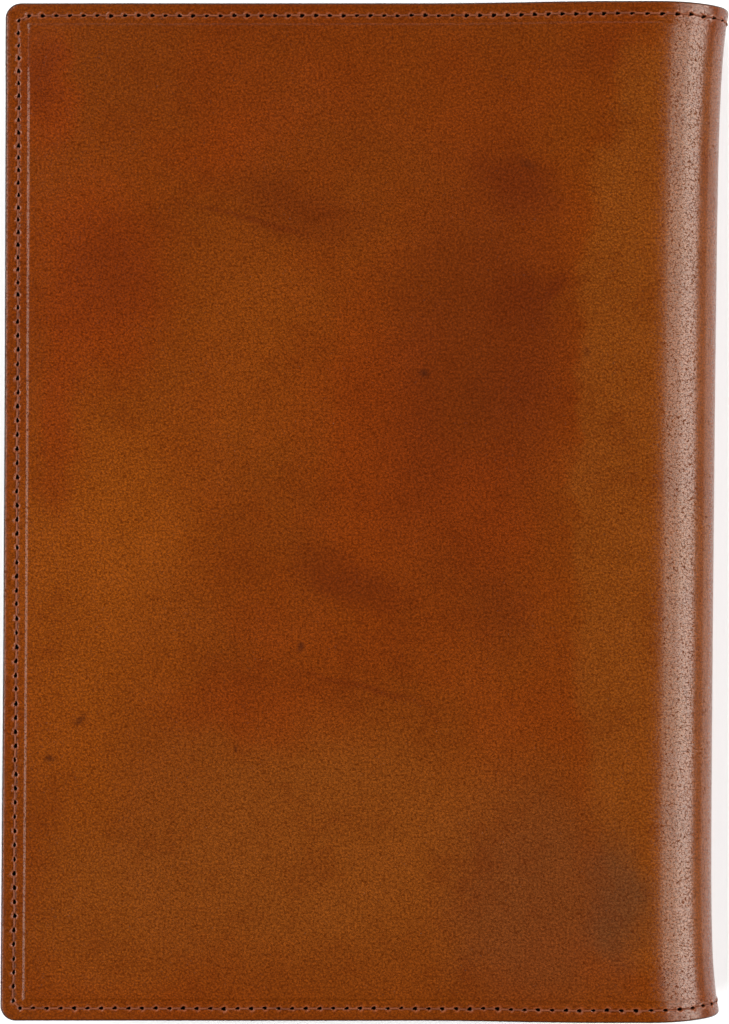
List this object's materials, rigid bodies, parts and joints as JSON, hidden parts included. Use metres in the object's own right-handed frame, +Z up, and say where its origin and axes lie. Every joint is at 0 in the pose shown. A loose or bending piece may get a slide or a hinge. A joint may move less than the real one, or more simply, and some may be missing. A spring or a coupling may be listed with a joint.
{
  "type": "leather notebook cover",
  "caption": "Stitched leather slip-on cover for a hardback notebook, with an inner pocket on each side; it folds about a soft spine and opens flat.",
  "frame": {"origin": "on the table under the middle of the closed cover's bounding box", "axes": "closed cover lying on its front cover: +X from the fore-edges to the spine, +Y from tail to head (up the page), +Z up from the table through the covers"},
  "size_m": [0.155, 0.22, 0.022],
  "materials": {
    "outer_leather": "semi-gloss pebbled, edges burnished dark",
    "lining_leather": "matt",
    "pocket_leather": "satin",
    "needle_thread": "waxed",
    "bobbin_thread": "waxed"
  },
  "bodies": {
    "front_cover": {"front_cover_leather": "outer_leather", "front_cover_lining": "lining_leather", "front_cover_needle_stitches": "needle_thread", "front_cover_bobbin_stitches": "bobbin_thread", "front_pocket": "pocket_leather"},
    "spine_front": {"spine_front_leather": "outer_leather", "spine_front_lining": "lining_leather", "spine_front_needle_stitches": "needle_thread", "spine_front_bobbin_stitches": "bobbin_thread"},
    "spine_middle": {"spine_middle_leather": "outer_leather", "spine_middle_lining": "lining_leather", "spine_middle_needle_stitches": "needle_thread", "spine_middle_bobbin_stitches": "bobbin_thread"},
    "spine_back": {"spine_back_leather": "outer_leather", "spine_back_lining": "lining_leather", "spine_back_needle_stitches": "needle_thread", "spine_back_bobbin_stitches": "bobbin_thread"},
    "back_cover": {"back_cover_leather": "outer_leather", "back_cover_lining": "lining_leather", "back_cover_needle_stitches": "needle_thread", "back_cover_bobbin_stitches": "bobbin_thread", "back_pocket": "pocket_leather"}
  },
  "joints": [
    {"name": "front_fold", "type": "hinge", "parent": "front_cover", "child": "spine_front", "pos_m": [0.07154, 0, 0.00051], "axis": [0, 1, 0], "range_deg": [0, 45]},
    {"name": "front_fold_follow", "type": "hinge", "parent": "spine_front", "child": "spine_middle", "pos_m": [0.07699, 0, 0.00596], "axis": [0, 1, 0], "range_deg": [0, 45]},
    {"name": "back_fold", "type": "hinge", "parent": "spine_middle", "child": "spine_back", "pos_m": [0.07699, 0, 0.01366], "axis": [0, 1, 0], "range_deg": [0, 45]},
    {"name": "back_fold_follow", "type": "hinge", "parent": "spine_back", "child": "back_cover", "pos_m": [0.06895, 0, 0.02098], "axis": [0, 1, 0], "range_deg": [0, 45]}
  ],
  "couplings": [
    {"joint": "front_fold_follow", "follows": "front_fold", "ratio": 1},
    {"joint": "back_fold_follow", "follows": "back_fold", "ratio": 1}
  ]
}
